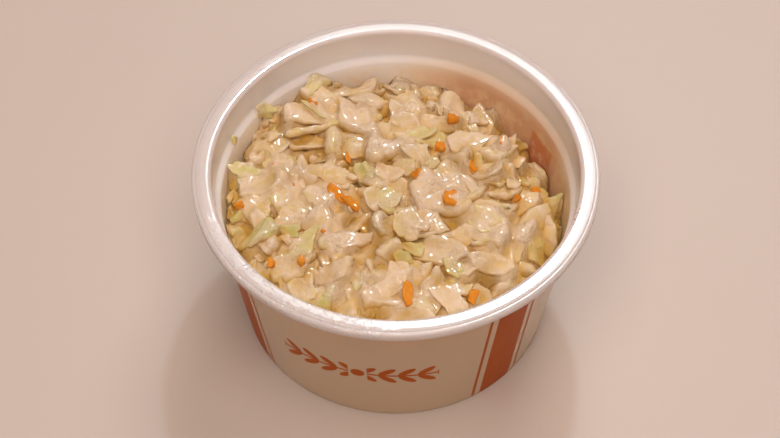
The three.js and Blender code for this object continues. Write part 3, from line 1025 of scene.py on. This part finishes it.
def cabbage_finish(name, pale, deep, green, dressed, depth_shade=1.2):
    """Wet cabbage: pale to deep, green at one end, patched with dressing and froth, with painted shade deep
    in the heap and underneath.
    """
    finish = Finish(name, FOOD_CONSTANTS)
    place = finish.place()
    tone = finish.attribute("tone")
    greenness = finish.attribute("green")
    rim = finish.attribute("rim")
    depth = finish.attribute("depth")
    clouds = finish.noise(place, 3.2, 3)
    patches = finish.noise(place, 1.7, 3, 0.6)
    grain = finish.noise(place, 0.65, 2)
    froth = finish.noise(place, 8, 1).ramp(0.5, 0.58)
    sheer = finish.noise(place, 5.5, 2)
    flesh = finish.mixed((tone * 0.45 + clouds * 0.5 + sheer * 1.2).ramp(0.75, 1.4), pale, deep)
    leafy = finish.mixed(greenness * clouds.ramp(0.3, 0.55) * (1 - rim * 0.5) * 0.85, flesh, green)
    dressing = patches.ramp(0.47, 0.58) * dressed
    flecks = finish.noise(place, 0.7, 2).ramp(0.52, 0.66) * (0.45 + froth * 0.5) * dressed
    coated = finish.mixed(dressing.highest(froth * 0.5).highest(flecks), leafy, DRESSING)
    # Painted shade: browner the deeper a point lies in the heap and the more it faces down
    painted_deep_shade = finish.mixed((depth * depth_shade + finish.facing_down() * 0.45).clamped(), coated, SOAKED_AND_PAINTED_SHADE)
    finish.let_through(GLOW, GLOW_TINT)
    return finish.feed(
        Base_Color=painted_deep_shade,
        Roughness=0.42 - froth * 0.15 + clouds * 0.12,
        Coat_Weight=0.3 + froth * 0.6,
        Normal=finish.bump(grain * (froth * 0.9 + 0.25) + patches * 0.5, 0.5, 1.0),
    )


def carrot_finish():
    """Carrot, with a thin wet film here and there."""
    finish = Finish("carrot", FOOD_CONSTANTS)
    place = finish.place()
    clouds = finish.noise(place, 1.4, 2)
    film = finish.noise(place, 1.3, 3).ramp(0.46, 0.64)
    flesh = finish.mixed(clouds, CARROT, PALE_CARROT)
    return finish.feed(
        Base_Color=finish.mixed(film * 0.26 + 0.03, flesh, SOAKED_AND_PAINTED_SHADE),
        Roughness=0.35 + clouds * 0.14,
        Coat_Weight=film * 0.35,
        Normal=finish.bump(finish.noise(place, 0.9, 3), 0.3, 0.7),
    )


# The dressing's skin: rings, segments and edge, crumbs, how far it lies under the pieces, and its foot
FILM_RINGS = 80
FILM_SEGMENTS = 280
FILM_EDGE = LEDGE_RADIUS - 0.5
CRUMB_SIZE = 2.2
CRUMB_HEIGHT = 1.3
FILM_DEPTH = 2.0
LEAST_FILM_DEPTH, MOST_FILM_DEPTH = 0.9, 5.0
FILM_FOOT_RADIUS = FLOOR_RADIUS - 3
FILM_FOOT = INNER_FLOOR + 0.3


def crumbled(x, y):
    """Rounded lumps of uneven size, from 0 between them to about 1 on top."""
    near = [noise.voronoi(Vector((a / CRUMB_SIZE, b / CRUMB_SIZE, 0.0)))[0][0] for a, b in zip(x, y)]
    return 1 - np.clip(near, 0, 1) ** 2


def film_levels(rng, heap):
    """The dressing's surface: it fills the gaps between the pieces, deeper in some places than others."""
    places = np.stack([GRID_X.ravel(), GRID_Y.ravel(), np.zeros(GRID_X.size)], axis=1)
    depth = FILM_DEPTH + waves(rng, places, 14, 1.1) + waves(rng, places, 6, 0.9)
    depth = np.clip(depth, LEAST_FILM_DEPTH, MOST_FILM_DEPTH)
    return smoothed(heap.levels, 3) - depth.reshape(GRID_X.shape)


def film_mesh(levels):
    """The dressing and all under it: a closed lid of heights over the tub's floor."""
    angles = 2 * np.pi * np.arange(FILM_SEGMENTS) / FILM_SEGMENTS
    points = [(0.0, 0.0, levels[GRID_COUNT // 2, GRID_COUNT // 2])]
    for ring in range(1, FILM_RINGS + 1):
        radius = FILM_EDGE * ring / FILM_RINGS
        x, y = radius * np.cos(angles), radius * np.sin(angles)
        z = level_at(levels, x, y) + CRUMB_HEIGHT * crumbled(x, y)
        limit = np.minimum(1.0, (inner_radius(z) - WALL_CLEARANCE) / radius)
        points.extend(zip(x * limit, y * limit, z))
    x, y = FILM_FOOT_RADIUS * np.cos(angles), FILM_FOOT_RADIUS * np.sin(angles)
    points.extend(zip(x, y, np.full(FILM_SEGMENTS, FILM_FOOT)))
    points.append((0.0, 0.0, FILM_FOOT))
    faces = [tuple(reversed(face)) for face in ringed_faces(FILM_RINGS + 1, FILM_SEGMENTS)]
    return np.array(points), faces


def add_dressing(rng, heap):
    """The dressing between the pieces, with the heap's inside under it."""
    finish = cabbage_finish("dressing", THIN_CREAM, THIN_STRAW, PALE_GREEN, dressed=0.7, depth_shade=0.75)
    points, faces = film_mesh(film_levels(rng, heap))
    bed = make_piece("dressing_bed", points, faces, finish, {"depth": heap.depth(points)})
    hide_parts("slaw")


def add_heap():
    """The heap's pieces, one object of each kind, with the dressing between them and the scrap apart."""
    rng = np.random.default_rng(SEED)
    heap = Heap(rng, heap_surface())
    fill_heap(heap)
    apart = np.random.default_rng(SEED + 1)
    leaf_points = against_wall(apart, *WALL_LEAF)
    LEAVES.keep(leaf_points, WALL_LEAF_TONE, np.full(len(leaf_points), WALL_LEAF_GREEN))
    add_dressing(rng, heap)
    cream = cabbage_finish("cabbage", CREAM, STRAW, PALE_GREEN, dressed=0.8)
    leaf = cabbage_finish("leaf", YOUNG_LEAF, PALE_GREEN, LEAF_GREEN, dressed=0.3)
    add_scrap(apart, leaf)
    finishes = {kind: cream for kind in (CHOPS, FLAKES, SHREDS, BITS)}
    finishes[LEAVES] = leaf
    finishes[CARROTS] = carrot_finish()
    for kind, finish in finishes.items():
        points, faces = kind.mesh()
        piece = make_piece(kind.name, points, faces, finish, kind.attributes(heap))
        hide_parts("slaw")


# Scene around the tub
FLOOR_HALF = 1.5
FLOOR_TONE, FLOOR_PALE_TONE = colour(0.6, 0.54, 0.48), colour(0.62, 0.56, 0.5)
KEY_TINT = (1.0, 0.81, 0.75)
GLOSS_TINT = (0.76, 0.95, 1.0)
OVERHEAD_TINT = (1.0, 0.79, 0.7)
WORLD_TINT = colour(1.0, 0.78, 0.7)
WORLD_STRENGTH = 0.18


def add_floor():
    """A pale matt floor, under the tub and far round it."""
    finish = Finish("floor", {"Specular IOR Level": 0.2})
    place = finish.place()
    tone = finish.noise(place, 60, 2)
    material = finish.feed(
        Base_Color=finish.mixed(tone, FLOOR_TONE, FLOOR_PALE_TONE),
        Roughness=tone * 0.05 + 0.6,
    )
    corners = [(x * FLOOR_HALF, y * FLOOR_HALF, 0) for x, y in ((-1, -1), (1, -1), (1, 1), (-1, 1))]
    mesh = bpy.data.meshes.new("floor")
    mesh.from_pydata(corners, [], [(0, 1, 2, 3)])
    mesh.materials.append(material)
    floor = bpy.data.objects.new("floor", mesh)
    bpy.context.scene.collection.objects.link(floor)


def add_light(name, turn, rise, distance, size, power, tint):
    """An area light that faces the tub's top, turned some degrees to the right of straight behind it."""
    data = bpy.data.lights.new(name, "AREA")
    data.shape = "RECTANGLE"
    data.size, data.size_y = size
    data.energy = power
    data.color = tint
    light = bpy.data.objects.new(name, data)
    a, e = math.radians(turn), math.radians(rise)
    way = Vector((math.sin(a) * math.cos(e), math.cos(a) * math.cos(e), math.sin(e)))
    light.location = way * distance + Vector((0, 0, TUB_TOP * MM))
    light.rotation_euler = (-way).to_track_quat("-Z", "Y").to_euler()
    bpy.context.scene.collection.objects.link(light)
    return light


def add_world():
    """Faint warm light from all round."""
    world = bpy.data.worlds.new("world")
    world.use_nodes = True
    background = world.node_tree.nodes["Background"]
    background.inputs["Color"].default_value = WORLD_TINT
    background.inputs["Strength"].default_value = WORLD_STRENGTH
    bpy.context.scene.world = world


def add_lights():
    """A key light without a mirror image, two that only make gloss, and a broad one above the camera."""
    key = add_light("key", turn=17, rise=51, distance=1.0, size=(0.42, 0.45), power=3.8, tint=KEY_TINT)
    key.visible_glossy = False
    sheen = add_light("sheen", turn=15, rise=51, distance=1.0, size=(0.54, 0.4), power=4.2, tint=GLOSS_TINT)
    glint = add_light("glint", turn=12, rise=58, distance=1.0, size=(0.05, 0.05), power=26.0, tint=GLOSS_TINT)
    for gloss in (sheen, glint):
        gloss.visible_diffuse = False
    add_light("overhead", turn=180, rise=66, distance=1.1, size=(0.8, 0.8), power=9.0, tint=OVERHEAD_TINT)


bpy.context.scene.view_settings.view_transform = "Standard"
add_camera()
add_floor()
add_world()
add_lights()
add_tub()
add_heap()
